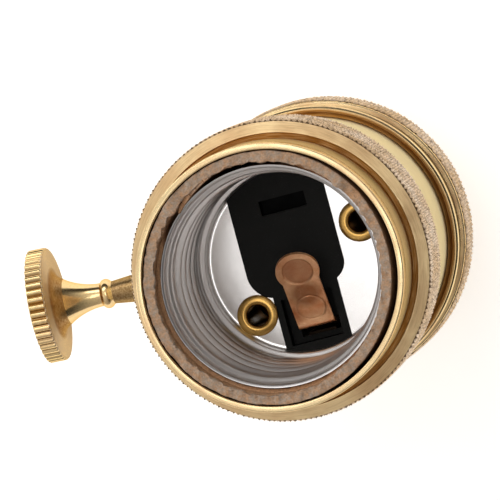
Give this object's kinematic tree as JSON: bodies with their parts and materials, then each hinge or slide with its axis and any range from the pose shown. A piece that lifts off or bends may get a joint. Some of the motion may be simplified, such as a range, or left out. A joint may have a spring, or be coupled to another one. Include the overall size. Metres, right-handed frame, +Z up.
{
  "type": "brass lamp holder",
  "caption": "Brass screw-shell lamp holder with a turned barrel, knurled bands, fibre liner and a side knob that turns its built-in switch.",
  "frame": {"origin": "centre of the inlet boss's end face, which the holder stands on", "axes": "+Z up the holder's axis and out of the lamp mouth, -X along the knob's spindle"},
  "size_m": [0.0563, 0.0388, 0.074],
  "materials": {
    "turned_brass": "satin turned brass, lacquered",
    "knob_brass": "turned brass, ribbed rim",
    "fibre": "rough cut pressed fibre",
    "shell_aluminium": "rolled aluminium sheet",
    "black_moulding": "satin black thermoset moulding",
    "contact_copper": "pressed copper strip",
    "eyelet_brass": "plain brass, rolled",
    "spring_bronze": "phosphor bronze strip",
    "zinced_steel": "zinc plated steel",
    "rotor_plastic": "natural nylon"
  },
  "bodies": {
    "cap": {"cap": "turned_brass", "grub_screw": "zinced_steel", "earth_screw": "zinced_steel", "earth_washer": "zinced_steel", "cap_disc": "fibre"},
    "barrel": {"barrel": "turned_brass", "liner": "fibre", "screw_shell": "shell_aluminium", "eyelet_left": "eyelet_brass", "eyelet_right": "eyelet_brass", "front_moulding": "black_moulding", "rear_moulding": "black_moulding", "switch_leaf": "spring_bronze", "fixed_contact": "spring_bronze", "live_terminal": "eyelet_brass", "live_screw": "zinced_steel", "neutral_terminal": "eyelet_brass", "neutral_screw": "zinced_steel"},
    "knob": {"knob": "knob_brass", "spindle": "zinced_steel", "rotor": "rotor_plastic"},
    "contact": {"centre_contact": "contact_copper"}
  },
  "joints": [
    {"name": "barrel_unscrew", "type": "slide", "parent": "cap", "child": "barrel", "axis": [0, 0, 1], "range_m": [0, 0.012]},
    {"name": "knob_turn", "type": "hinge", "parent": "barrel", "child": "knob", "pos_m": [0, 0, 0.04], "axis": [-1, 0, 0], "continuous": true},
    {"name": "contact_press", "type": "hinge", "parent": "barrel", "child": "contact", "pos_m": [0.00049, -0.00886, 0.043], "axis": [0.9984, 0.0558, 0], "range_deg": [-8, 0], "stiffness_Nm_per_rad": 0.05}
  ]
}
